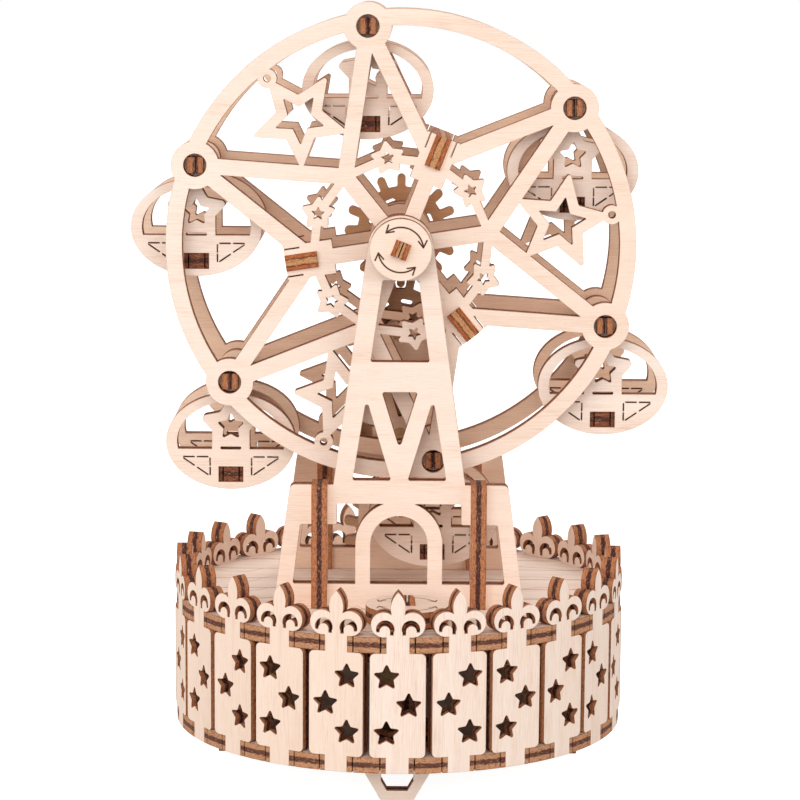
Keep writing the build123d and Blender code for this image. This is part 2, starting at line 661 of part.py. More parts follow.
with BuildPart() as wheel_axle:
    with BuildSketch(upright(AXLE_REAR, HUB)):
        add(square_shaft(AXLE_SIZE, AXLE_TURN))
    extrude(amount=AXLE_REAR + AXLE_FRONT)
    with BuildSketch(upright(-AXLE_FRONT + SLIT_DEPTH, HUB)):
        Rectangle(LINE, 2 * AXLE_SIZE, rotation=AXLE_TURN - 90)
    extrude(amount=SLIT_DEPTH, mode=Mode.SUBTRACT)
finish(wheel_axle, "wheel_axle")

HUB_ARROWS = [arrow_line(HUB_ARROW_RADIUS, *span) for span in HUB_ARROW_SPANS]

with BuildPart() as front_hub_disc:
    with BuildSketch(upright(-TOWER_BACK - SIDE_GAP, HUB)):
        Circle(HUB_DISC_RADIUS)
        add(square_shaft(AXLE_SIZE, AXLE_TURN), mode=Mode.SUBTRACT)
    extrude(amount=BOARD - SIDE_GAP)
    with BuildSketch(upright(-TOWER_BACK - BOARD + GROOVE, HUB)):
        for arrow in HUB_ARROWS:
            add(arrow)
    extrude(amount=GROOVE, mode=Mode.SUBTRACT)
finish(front_hub_disc, "front_hub_disc")

with BuildPart() as rear_hub_disc:
    with BuildSketch(upright(AXLE_REAR, HUB)):
        Circle(HUB_DISC_RADIUS)
        add(square_shaft(AXLE_SIZE, AXLE_TURN), mode=Mode.SUBTRACT)
    extrude(amount=BOARD)
finish(rear_hub_disc, "rear_hub_disc")


# --- gear train ------------------------------------------------------------
def train_gear(first, bore):
    """Gear of the train with a ring of small windows and the given bore."""
    with BuildSketch(mode=Mode.PRIVATE) as shape:
        add(gear_outline(TRAIN_TEETH, first))
        with PolarLocations(EYE_CIRCLE, EYE_COUNT, start_angle=first + 180 / EYE_COUNT):
            SlotOverall(*EYE_SIZE, rotation=90, mode=Mode.SUBTRACT)
        add(bore, mode=Mode.SUBTRACT)
    return shape.sketch


def round_bore(radius):
    """Round bore of a gear that turns on a pin."""
    with BuildSketch(mode=Mode.PRIVATE) as shape:
        Circle(radius)
    return shape.sketch


HALF_TOOTH = 180 / TRAIN_TEETH
PIN_BORE = round_bore(PIN_RADIUS + TURN_GAP)
TRAIN = [
    ("hub_gear", 90, square_shaft(AXLE_SIZE, AXLE_TURN)),
    ("upper_idler_gear", 90 + HALF_TOOTH, PIN_BORE),
    ("lower_idler_gear", 90, PIN_BORE),
    ("transfer_gear", 90 + HALF_TOOTH, PIN_BORE),
]
for (name, first, bore), height in zip(TRAIN, TRAIN_HEIGHTS):
    with BuildPart() as gear:
        with BuildSketch(upright(TRAIN_FACE + BOARD, height)):
            add(train_gear(first, bore))
        extrude(amount=BOARD)
    finish(gear, name)

KEEPER_REAR = KEEPER_FACE + BOARD

with BuildPart() as gear_pins:
    for height in TRAIN_HEIGHTS[1:]:
        with BuildSketch(upright(KEEPER_REAR, height)):
            Circle(PIN_RADIUS)
        extrude(amount=KEEPER_REAR - TOWER_FACE)
finish(gear_pins, "gear_pins")

with BuildPart() as gear_keepers:
    for height in TRAIN_HEIGHTS[1:]:
        with BuildSketch(upright(KEEPER_REAR, height)):
            Circle(KEEPER_RADIUS)
            Circle(PIN_RADIUS, mode=Mode.SUBTRACT)
        extrude(amount=BOARD)
finish(gear_keepers, "gear_keepers")

with BuildPart() as drum_gear:
    with BuildSketch(Plane.XY.offset(DRUM_GEAR_LOW)):
        with Locations((0, DRUM_GEAR_Y)):
            add(gear_outline(DRUM_TEETH, 90))
            Circle(POST_PIN + TURN_GAP, mode=Mode.SUBTRACT)
            with PolarLocations(DRUM_WINDOW_CIRCLE, DRUM_WINDOW_COUNT):
                Circle(DRUM_WINDOW_RADIUS, mode=Mode.SUBTRACT)
    extrude(amount=BOARD)
finish(drum_gear, "drum_gear")

with BuildPart() as drum_gear_post:
    with BuildSketch(Plane.XY.offset(BASE_TOP)):
        with Locations((0, DRUM_GEAR_Y)):
            Circle(POST_RADIUS)
    extrude(amount=DRUM_GEAR_LOW - STEP_CLEAR - BASE_TOP)
    with BuildSketch(Plane.XY.offset(BASE_TOP)):
        with Locations((0, DRUM_GEAR_Y)):
            Circle(POST_PIN)
    extrude(amount=DRUM_GEAR_LOW + BOARD - BASE_TOP)
finish(drum_gear_post, "drum_gear_post")

# --- crank -----------------------------------------------------------------
PINION_HALF = 180 / PINION_TEETH
DRUM_HALF = 180 / DRUM_TEETH
# The drum gear's first tooth is at 90 degrees; how far its next tooth lies from the crank.
DRUM_PHASE = ((CRANK_TURN - 90) / (2 * DRUM_HALF)) % 1
PINION_FIRST = CRANK_TURN + 180 + PINION_HALF + DRUM_PHASE * 2 * PINION_HALF
CRANK_TOP = PLATFORM + CRANK_LIFT + BOARD

with BuildPart() as crank_axle:
    with BuildSketch(Plane.XY.offset(BASE_TOP + STEP_CLEAR)):
        with Locations((CRANK_X, CRANK_Y)):
            add(square_shaft(AXLE_SIZE, 0))
    extrude(amount=CRANK_TOP + CRANK_PROUD - BASE_TOP - STEP_CLEAR)
    top_edges = crank_axle.faces().sort_by(Axis.Z)[-1].edges().filter_by(Axis.Y)
    fillet(top_edges, CRANK_END_SOFT)
    with BuildSketch(Plane.XY.offset(CRANK_TOP + CRANK_PROUD - SLIT_DEPTH)):
        with Locations((CRANK_X, CRANK_Y)):
            Rectangle(LINE, 2 * AXLE_SIZE)
    extrude(amount=SLIT_DEPTH, mode=Mode.SUBTRACT)
finish(crank_axle, "crank_axle")

with BuildPart() as crank_disc:
    with BuildSketch(Plane.XY.offset(CRANK_TOP - BOARD)):
        with Locations((CRANK_X, CRANK_Y)):
            Circle(CRANK_DISC_RADIUS)
            add(square_shaft(AXLE_SIZE, 0), mode=Mode.SUBTRACT)
    extrude(amount=BOARD)
    with BuildSketch(Plane.XY.offset(CRANK_TOP - GROOVE)):
        with Locations((CRANK_X, CRANK_Y)):
            for span in CRANK_ARROW_SPANS:
                add(arrow_line(CRANK_ARROW_RADIUS, *span))
    extrude(amount=GROOVE, mode=Mode.SUBTRACT)
finish(crank_disc, "crank_disc")

with BuildPart() as crank_pinion:
    with BuildSketch(Plane.XY.offset(DRUM_GEAR_LOW)):
        with Locations((CRANK_X, CRANK_Y)):
            add(gear_outline(PINION_TEETH, PINION_FIRST))
            add(square_shaft(AXLE_SIZE, 0), mode=Mode.SUBTRACT)
    extrude(amount=BOARD)
finish(crank_pinion, "crank_pinion")

with BuildPart() as footstep_bearing:
    with BuildSketch(Plane.XY.offset(BASE_TOP)):
        with Locations((CRANK_X, CRANK_Y)):
            Circle(STEP_RADIUS)
            Circle(AXLE_HOLE, mode=Mode.SUBTRACT)
    extrude(amount=BOARD)
finish(footstep_bearing, "footstep_bearing")


# --- gondolas --------------------------------------------------------------
def pane_dashes(side):
    """Dashed quarter pane of a side plate."""
    inner = (side * PANE_INNER, -PANE_FOOT)
    corner = (side * PANE_INNER, -PANE_TOP)
    outer = (side * PANE_OUTER, -PANE_TOP)
    with BuildSketch(mode=Mode.PRIVATE) as shape:
        for start, end in ((inner, corner), (corner, outer), (outer, inner)):
            for first in (DASH_INSET, 1 - DASH_INSET - DASH_SHARE):
                points = []
                for share in (first, first + DASH_SHARE):
                    x = start[0] + (end[0] - start[0]) * share
                    y = start[1] + (end[1] - start[1]) * share
                    points.append((x, y))
                add(bar_between(points[0], points[1], LINE))
    return shape.sketch


def side_plate():
    """Oval side plate of a gondola, its origin at the pivot."""
    with BuildSketch(mode=Mode.PRIVATE) as bowl:
        with Locations((0, -OVAL_DROP)):
            Ellipse(OVAL_HALF_WIDTH, OVAL_HALF_HEIGHT)
        Rectangle(2 * OVAL_HALF_WIDTH, 2 * SEAT_LINE, mode=Mode.SUBTRACT)
    with BuildSketch(mode=Mode.PRIVATE) as shape:
        with Locations((0, -OVAL_DROP)):
            Ellipse(OVAL_HALF_WIDTH, OVAL_HALF_HEIGHT)
            Ellipse(OVAL_HALF_WIDTH - OVAL_SIDE_BAND, OVAL_HALF_HEIGHT - OVAL_TOP_BAND, mode=Mode.SUBTRACT)
        add(bowl.sketch)
        Circle(LUG_RADIUS)
        with Locations(Location((0, -SEAT_STAR_DROP), 90)):
            add(SEAT_STAR)
        with Locations((0, -(SEAT_STAR_DROP + SEAT_LINE) / 2 - LINE)):
            Rectangle(SEAT_BACK_WIDTH, SEAT_LINE - SEAT_STAR_DROP + LINE)
        Rectangle(PEG_SIZE, PEG_SIZE, mode=Mode.SUBTRACT)
        with Locations(Location((0, -SEAT_STAR_DROP), 90)):
            add(SEAT_HOLE, mode=Mode.SUBTRACT)
        with Locations((0, -SEAT_SLOT_DROP)):
            SlotOverall(*SEAT_SLOT, mode=Mode.SUBTRACT)
        with Locations((0, -FLOOR_DROP)):
            Rectangle(FLOOR_TAB, BOARD, mode=Mode.SUBTRACT)
        for side in (-1, 1):
            add(pane_dashes(side), mode=Mode.SUBTRACT)
    return shape.sketch


SIDE_PLATE = side_plate()
SIDE_OUT = RING_FACE - GONDOLA_GAP
PEG_END = RING_OUTSIDE - PEG_RECESS
FLOOR_END = SIDE_OUT - FLOOR_RECESS
FLOOR_SLIT_X = FLOOR_TAB / 2 - FLOOR_SLIT_INSET
FLOOR_SLIT_Y = FLOOR_END - FLOOR_SLIT_LENGTH / 2

for index in range(SPOKE_COUNT):
    across, rise = polar(PIVOT_CIRCLE, SPOKE_TURN + SPOKE_STEP * (index + 0.5))
    height = HUB + rise
    name = f"gondola_{index + 1}"
    for end, back in (("front", BOARD - SIDE_OUT), ("rear", SIDE_OUT)):
        with BuildPart() as side_board:
            with BuildSketch(upright(back, height, across)):
                add(SIDE_PLATE)
            extrude(amount=BOARD)
        finish(side_board, f"{name}_{end}_side")
    with BuildPart() as pivot_bar:
        with BuildSketch(upright(PEG_END, height, across)):
            Rectangle(PEG_SIZE, PEG_SIZE)
        extrude(amount=2 * PEG_END)
        with BuildSketch(upright(-PEG_END + BOARD / 2, height, across)):
            Rectangle(LINE, 2 * PEG_SIZE)
        extrude(amount=BOARD / 2, mode=Mode.SUBTRACT)
    finish(pivot_bar, f"{name}_pivot_bar")
    with BuildPart() as floor_board:
        with BuildSketch(Plane.XY.offset(height - FLOOR_DROP - BOARD / 2)):
            with Locations((across, 0)):
                Rectangle(FLOOR_WIDTH, 2 * (SIDE_OUT - BOARD))
                Rectangle(FLOOR_TAB, 2 * FLOOR_END)
            for x in (-FLOOR_SLIT_X, FLOOR_SLIT_X):
                with Locations((across + x, FLOOR_SLIT_Y), (across + x, -FLOOR_SLIT_Y)):
                    Rectangle(LINE, FLOOR_SLIT_LENGTH, mode=Mode.SUBTRACT)
        extrude(amount=BOARD)
    finish(floor_board, f"{name}_floor")
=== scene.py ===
"""Looks of the crank ferris wheel toy: bare laser-cut plywood with burnt three-ply edges."""
import math
import random

import bpy
import numpy as np
from mathutils import Matrix, Vector

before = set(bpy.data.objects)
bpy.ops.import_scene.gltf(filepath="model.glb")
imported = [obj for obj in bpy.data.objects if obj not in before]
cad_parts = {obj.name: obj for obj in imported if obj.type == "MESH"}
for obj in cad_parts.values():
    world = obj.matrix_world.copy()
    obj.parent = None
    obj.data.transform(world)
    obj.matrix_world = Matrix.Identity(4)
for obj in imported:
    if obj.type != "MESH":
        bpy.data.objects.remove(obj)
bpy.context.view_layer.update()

MM = 0.001

# --- camera, solved from the fence, the wheel and the platform ---------------
FRAME_PIXELS = 800
FOCAL_PIXELS = 2719.1
SENSOR = 36.0
CAMERA_PLACE = Vector((0.525, -698.1, 199.0)) * MM
CAMERA_PITCH = math.radians(8.617)
CAMERA_YAW = math.radians(-0.041)
CAMERA_ROLL = math.radians(0.402)


def make_camera():
    """Camera at the photograph's place, pitch and field of view."""
    data = bpy.data.cameras.new("camera")
    data.sensor_width = SENSOR
    data.lens = FOCAL_PIXELS / FRAME_PIXELS * SENSOR
    data.clip_end = 20
    camera = bpy.data.objects.new("camera", data)
    bpy.context.scene.collection.objects.link(camera)
    level = math.cos(CAMERA_PITCH)
    forward = Vector((math.sin(CAMERA_YAW) * level, math.cos(CAMERA_YAW) * level, -math.sin(CAMERA_PITCH)))
    right = Vector((math.cos(CAMERA_YAW), -math.sin(CAMERA_YAW), 0))
    up = right.cross(forward)
    rolled_right = right * math.cos(CAMERA_ROLL) + up * math.sin(CAMERA_ROLL)
    rolled_up = up * math.cos(CAMERA_ROLL) - right * math.sin(CAMERA_ROLL)
    turn = Matrix((rolled_right, rolled_up, -forward)).transposed().to_4x4()
    camera.matrix_world = Matrix.Translation(CAMERA_PLACE) @ turn
    bpy.context.scene.camera = camera


# --- node helpers ------------------------------------------------------------
def linear(red, green, blue):
    """Colour written as it shows, 0 to 255, as Blender's linear colour."""
    parts = [value / 255 for value in (red, green, blue)]
    return (*[p / 12.92 if p <= 0.04045 else ((p + 0.055) / 1.055) ** 2.4 for p in parts], 1.0)


class Nodes:
    """Short names for building a node tree."""

    def __init__(self, name):
        self.material = bpy.data.materials.new(name)
        self.material.use_nodes = True
        self.tree = self.material.node_tree
        self.shader = self.tree.nodes["Principled BSDF"]

    def add(self, kind, **values):
        node = self.tree.nodes.new(kind)
        for key, value in values.items():
            setattr(node, key, value)
        return node

    def link(self, start, end):
        self.tree.links.new(start, end)

    def attribute(self, name):
        return self.add("ShaderNodeAttribute", attribute_name=name)

    def stretched(self, source, scale, place=(0, 0, 0)):
        node = self.add("ShaderNodeMapping")
        node.inputs["Scale"].default_value = scale
        node.inputs["Location"].default_value = place
        self.link(source, node.inputs["Vector"])
        return node.outputs["Vector"]

    def noise(self, source, detail=4.0, rough=0.5, twist=0.0):
        node = self.add("ShaderNodeTexNoise")
        node.inputs["Scale"].default_value = 1.0
        node.inputs["Detail"].default_value = detail
        node.inputs["Roughness"].default_value = rough
        node.inputs["Distortion"].default_value = twist
        self.link(source, node.inputs["Vector"])
        return node.outputs["Fac"]

    def ramp(self, source, *stops):
        node = self.add("ShaderNodeValToRGB")
        points = node.color_ramp.elements
        while len(points) < len(stops):
            points.new(0.5)
        for point, (place, colour) in zip(points, stops):
            point.position = place
            point.color = colour if len(colour) == 4 else (*colour, 1.0)
        self.link(source, node.inputs["Fac"])
        return node.outputs["Color"]

    def level(self, source, low, high, start=0.0, end=1.0):
        node = self.add("ShaderNodeMapRange")
        for key, value in (("From Min", low), ("From Max", high), ("To Min", start), ("To Max", end)):
            node.inputs[key].default_value = value
        self.link(source, node.inputs["Value"])
        return node.outputs["Result"]

    def math(self, operation, first, second):
        node = self.add("ShaderNodeMath", operation=operation)
        for value, socket in ((first, node.inputs[0]), (second, node.inputs[1])):
            if isinstance(value, (int, float)):
                socket.default_value = value
            else:
                self.link(value, socket)
        return node.outputs[0]

    def mix(self, amount, first, second, blend="MIX"):
        node = self.add("ShaderNodeMix", data_type="RGBA", blend_type=blend)
        if isinstance(amount, (int, float)):
            node.inputs["Factor"].default_value = amount
        else:
            self.link(amount, node.inputs["Factor"])
        for value, socket in ((first, node.inputs[6]), (second, node.inputs[7])):
            if isinstance(value, tuple):
                socket.default_value = value
            else:
                self.link(value, socket)
        return node.outputs[2]

    def bump(self, height, strength, distance):
        node = self.add("ShaderNodeBump")
        node.inputs["Strength"].default_value = strength
        node.inputs["Distance"].default_value = distance
        self.link(height, node.inputs["Height"])
        self.link(node.outputs["Normal"], self.shader.inputs["Normal"])


# --- materials ---------------------------------------------------------------
# "grain" is a place on the board in millimetres: along the grain, across it, through the board.
# "ply" runs from 0 at one face of the board to 1 at the other.
# Scales are features to a millimetre in those three directions, and places start a pattern elsewhere.
BANDS = (0.010, 0.16, 0.3)
FIBRES = (0.16, 4.2, 1.0)
PORES = (0.7, 6.5, 1.0)
PORES_PLACE = (31.0, 7.0, 0)
CLOUD = (0.05, 0.09, 0.1)
CLOUD_PLACE = (5.0, 9.0, 0)
WHOLE_BOARD = (0.004, 0.004, 0.004)
BOARD_TINT = linear(246, 226, 204)
FACE_SHINE = 0.18

EDGE_WANDER = (0.8, 0.8, 0.6)
EDGE_STREAKS = (0.8, 0.8, 4.5)
EDGE_STREAKS_PLACE = (3.0, 2.0, 8.0)
EDGE_SPECKLE = (2.6, 2.6, 2.6)
EDGE_SPECKLE_PLACE = (17.0, 5.0, 2.0)
EDGE_PALE = (0.9, 0.9, 3.6)
EDGE_PALE_PLACE = (11.0, 4.0, 1.0)
EDGE_PALE_COLOUR = linear(220, 168, 126)
EDGE_SHINE = 0.2
PLY_WANDER = 0.06        # how far the plies wander, as a share of the board's thickness
GLUE_REACH = 0.06        # from the middle ply's edge to the darkest of the glue line, as such a share
GLUE_FADE = 0.07         # from there to the outer ply's own colour

BURN_REACH = 0.28 * MM   # how far the burn of a cut reaches onto a face
BURN_SHARE = 0.6
BURN = linear(150, 96, 62)

PLANK_WIDTH = 12.0       # millimetres between plank seams
WAVE_STEP = 13.0         # millimetres between wavy lines
WAVE_SWAY = 9.0          # how far a wavy line sways to each side
WAVE_SCALE = (0.06, 0.02, 0.1)
WAVE_PLACE = (2.0, 6.0, 0)
LINE_WIDTH = 0.5
LINE_COLOUR = linear(166, 116, 78)
SEAM_SHIFT = 400.0       # keeps the counted distance above zero
WAVE_SHIFT = 405.0


def burnt_rim(wood, colour):
    """Darkens a face colour close beside its cut edges."""
    round_edge = wood.add("ShaderNodeBevel", samples=6)
    round_edge.inputs["Radius"].default_value = BURN_REACH
    surface = wood.add("ShaderNodeNewGeometry")
    facing = wood.add("ShaderNodeVectorMath", operation="DOT_PRODUCT")
    wood.link(round_edge.outputs["Normal"], facing.inputs[0])
    wood.link(surface.outputs["Normal"], facing.inputs[1])
    burnt = wood.level(facing.outputs["Value"], 0.995, 0.8, 0.0, BURN_SHARE)
    return wood.mix(burnt, colour, BURN)


def veneer_pattern(wood, grain, bands_share):
    """Fibres, and the tone that they make together with wide soft bands."""
    bands = wood.noise(wood.stretched(grain, BANDS), detail=3.0, rough=0.5, twist=0.8)
    fibres = wood.noise(wood.stretched(grain, FIBRES), detail=6.0, rough=0.66)
    tone = wood.math("ADD", wood.math("MULTIPLY", bands, bands_share),
                     wood.math("MULTIPLY", fibres, 1 - bands_share))
    return fibres, tone


def finish_veneer(wood, colour, fibres, height, strength, distance):
    """Sets colour, roughness, shine and bump of a sanded face."""
    wood.link(burnt_rim(wood, colour), wood.shader.inputs["Base Color"])
    wood.link(wood.level(fibres, 0.3, 0.7, 0.62, 0.78), wood.shader.inputs["Roughness"])
    wood.shader.inputs["Specular IOR Level"].default_value = FACE_SHINE
    wood.bump(height, strength, distance)
    return wood.material


def face_wood(name, light, middle, dark):
    """Pale sanded veneer with fine fibres, soft bands and short pores."""
    wood = Nodes(name)
    grain = wood.attribute("grain").outputs["Vector"]
    fibres, tone = veneer_pattern(wood, grain, 0.35)
    pores = wood.noise(wood.stretched(grain, PORES, PORES_PLACE), detail=2.0)
    cloud = wood.noise(wood.stretched(grain, CLOUD, CLOUD_PLACE), detail=2.0)
    colour = wood.ramp(tone, (0.34, dark), (0.5, middle), (0.6, light))
    colour = wood.mix(wood.level(cloud, 0.35, 0.7, 0.0, 0.5), colour, middle)
    pore_dark = wood.level(pores, 0.6, 0.74, 0.0, 0.45)
    colour = wood.mix(pore_dark, colour, dark)
    whole = wood.noise(wood.stretched(grain, WHOLE_BOARD), detail=0.0)
    colour = wood.mix(wood.level(whole, 0.4, 0.65, 0.0, 0.25), colour, BOARD_TINT, "MULTIPLY")
    height = wood.math("SUBTRACT", fibres, wood.math("MULTIPLY", pore_dark, 0.8))
    return finish_veneer(wood, colour, fibres, height, 0.25, 0.06 * MM)


def edge_wood(name, outer, shade, glue, core, half=0.06):
    """Laser-burnt edge: two brown outer plies and a middle one between dark glue lines.

    Half is half the middle ply's share of the board's thickness."""
    edge = Nodes(name)
    ply = edge.attribute("ply").outputs["Fac"]
    grain = edge.attribute("grain").outputs["Vector"]
    wander = edge.noise(edge.stretched(grain, EDGE_WANDER), detail=5.0, rough=0.7)
    across = edge.math("ADD", ply, edge.level(wander, 0.3, 0.7, -PLY_WANDER, PLY_WANDER))
    glue_at = half + GLUE_REACH
    outer_at = glue_at + GLUE_FADE
    bands = edge.ramp(across, (0.0, shade), (0.07, outer), (0.5 - outer_at, outer),
                      (0.5 - glue_at, glue), (0.5 - half, core), (0.5 + half, core),
                      (0.5 + glue_at, glue), (0.5 + outer_at, outer), (0.93, outer), (1.0, shade))
    streaks = edge.noise(edge.stretched(grain, EDGE_STREAKS, EDGE_STREAKS_PLACE), detail=6.0, rough=0.75)
    speckle = edge.noise(edge.stretched(grain, EDGE_SPECKLE, EDGE_SPECKLE_PLACE), detail=5.0, rough=0.75)
    burn = edge.math("ADD", edge.math("MULTIPLY", streaks, 0.5), edge.math("MULTIPLY", speckle, 0.55))
    colour = edge.mix(edge.level(burn, 0.51, 0.63, 0.0, 0.85), bands, glue)
    pale = edge.noise(edge.stretched(grain, EDGE_PALE, EDGE_PALE_PLACE), detail=6.0, rough=0.75)
    colour = edge.mix(edge.level(pale, 0.53, 0.68, 0.0, 0.75), colour, EDGE_PALE_COLOUR)
    edge.link(colour, edge.shader.inputs["Base Color"])
    edge.link(edge.level(speckle, 0.3, 0.7, 0.72, 0.9), edge.shader.inputs["Roughness"])
    edge.shader.inputs["Specular IOR Level"].default_value = EDGE_SHINE
    edge.bump(edge.math("ADD", speckle, edge.math("MULTIPLY", streaks, 0.8)), 0.4, 0.12 * MM)
    return edge.material


def platform_wood(light, middle, dark):
    """Platform veneer with thin engraved lines: straight plank seams and a few wavy ones."""
    deck = Nodes("platform_face")
    grain = deck.attribute("grain").outputs["Vector"]
    fibres, tone = veneer_pattern(deck, grain, 0.45)
    colour = deck.ramp(tone, (0.32, dark), (0.48, middle), (0.6, light))
    split = deck.add("ShaderNodeSeparateXYZ")
    deck.link(grain, split.inputs[0])
    side = split.outputs["Y"]
    place = deck.math("MODULO", deck.math("ADD", side, SEAM_SHIFT), PLANK_WIDTH)
    seam = deck.math("LESS_THAN", place, LINE_WIDTH)
    sway = deck.noise(deck.stretched(grain, WAVE_SCALE, WAVE_PLACE), detail=1.0, rough=0.4)
    swing = deck.math("ADD", side, deck.level(sway, 0.25, 0.75, -WAVE_SWAY, WAVE_SWAY))
    wave_place = deck.math("MODULO", deck.math("ADD", swing, WAVE_SHIFT), WAVE_STEP)
    wave = deck.math("LESS_THAN", wave_place, LINE_WIDTH)
    lines = deck.math("MAXIMUM", deck.math("MULTIPLY", seam, 0.75), deck.math("MULTIPLY", wave, 0.55))
    colour = deck.mix(lines, colour, LINE_COLOUR)
    height = deck.math("SUBTRACT", fibres, deck.math("MULTIPLY", lines, 2.0))
    return finish_veneer(deck, colour, fibres, height, 0.3, 0.08 * MM)


def char_wood():
    """Bottom of an engraved line, burnt dark."""
    char = Nodes("engraving")
    grain = char.attribute("grain").outputs["Vector"]
    mottle = char.noise(char.stretched(grain, (1.5, 1.5, 1.5)), rough=0.6)
    colour = char.ramp(mottle, (0.3, linear(62, 36, 26)), (0.7, linear(110, 66, 44)))
    char.link(colour, char.shader.inputs["Base Color"])
    char.shader.inputs["Roughness"].default_value = 0.85
    return char.material


def dowel_wood():
    """Turned pin: plain brown wood with fibres along it."""
    pin = Nodes("dowel")
    grain = pin.attribute("grain").outputs["Vector"]
    fibres = pin.noise(pin.stretched(grain, (0.2, 2.5, 2.5)), detail=5.0, rough=0.6)
    colour = pin.ramp(fibres, (0.3, linear(188, 144, 98)), (0.7, linear(226, 190, 146)))
    pin.link(colour, pin.shader.inputs["Base Color"])
    pin.link(pin.level(fibres, 0.3, 0.7, 0.6, 0.75), pin.shader.inputs["Roughness"])
    pin.bump(fibres, 0.3, 0.08 * MM)
    return pin.material


VENEER = (linear(254, 237, 224), linear(250, 230, 216), linear(234, 203, 182))
FACE = face_wood("veneer_face", *VENEER)
# Darker, warmer veneer that paints the shade on the camera-facing faces of the rear boards; their far
# faces keep the plain veneer.
BACK_PAINTED_SHADE = face_wood("veneer_back_painted_shade", linear(248, 222, 201), linear(242, 212, 189), linear(222, 186, 158))
# Darker, browner veneer that paints the shade on the gears' camera-facing faces.
GEAR_PAINTED_SHADE = face_wood("veneer_gear_painted_shade", linear(236, 198, 162), linear(226, 184, 146), linear(202, 158, 120))
# Dark brown veneer that paints the shade inside the drum onto the pieces that stand there.
INSIDE_PAINTED_SHADE = face_wood("veneer_inside_painted_shade", linear(150, 112, 84), linear(132, 94, 68), linear(110, 76, 54))
DECK = platform_wood(*VENEER)
EDGE = edge_wood("burnt_edge", linear(190, 124, 84), linear(146, 88, 60), linear(70, 40, 38),
                 linear(74, 43, 41))
PLATE_EDGE = edge_wood("burnt_plate_edge", linear(202, 148, 110), linear(160, 108, 78), linear(88, 52, 44),
                       linear(94, 57, 48))
TAB_EDGE = edge_wood("burnt_tab_end", linear(136, 78, 54), linear(108, 60, 44), linear(58, 34, 32),
                     linear(86, 50, 40))
BAR_EDGE = edge_wood("burnt_bar_end", linear(178, 100, 56), linear(140, 72, 42), linear(84, 42, 32),
                     linear(206, 150, 102), half=0.15)
DOWEL = dowel_wood()
CHAR = char_wood()


# --- boards: face, cut edge or engraving by each polygon ---------------------
FACE_LIMIT = 0.9         # a polygon whose normal is this near the board's is a face, else a cut edge
LEVEL_LIMIT = 0.7        # a board whose normal is this upright lies level
AXLE_TURN = 68.9         # degrees of the axle's and first crossbar's plies from +X, as the wheel stands
CROSSBAR_STEP = 120.0    # degrees between crossbars
PANEL_STEP = 15.0        # degrees between fence panels
FOOT_STEP = 90.0         # degrees between feet
FLAT_SHARE = 0.04        # how far from a board's two faces a face may lie before it is an engraving
SHIFT_REACH = 300.0      # millimetres by which a board's grain may be shifted, so that no two look alike
FACE_SLOT, EDGE_SLOT, ENGRAVED_SLOT, REAR_SLOT = range(4)
ENGRAVED = ("front_hub_disc", "crank_disc")
DOWELS = ("gear_pins", "drum_gear_post")
IN_THE_DRUM = ("drum_gear", "crank_pinion", "footstep_bearing")
LEVEL_BOARDS = ("base_plate", "platform", "crank_disc", "drum_gear_post", *IN_THE_DRUM)


def across_of(node, points):
    """Unit vectors across the board at each point, by how that node's board stands."""
    count = len(points)
    if node.startswith("fence") or node == "feet":
        step = PANEL_STEP if node.startswith("fence") else FOOT_STEP
        turn = np.radians(np.round(np.degrees(np.arctan2(points[:, 0], -points[:, 1])) / step) * step)
        return np.stack([np.sin(turn), -np.cos(turn), np.zeros(count)], axis=1)
    if node.startswith("crossbar"):
        turn = math.radians(AXLE_TURN + 90 + CROSSBAR_STEP * (int(node[-1]) - 1))
        way = (math.cos(turn), 0, math.sin(turn))
    elif node == "wheel_axle":
        turn = math.radians(AXLE_TURN - 90)
        way = (math.cos(turn), 0, math.sin(turn))
    elif node.endswith(("_rib", "pivot_bar")) or node == "crank_axle":
        way = (1, 0, 0)
    elif node in LEVEL_BOARDS or node.endswith("_floor"):
        way = (0, 0, 1)
    else:
        way = (0, 1, 0)
    return np.tile(np.array(way, float), (count, 1))


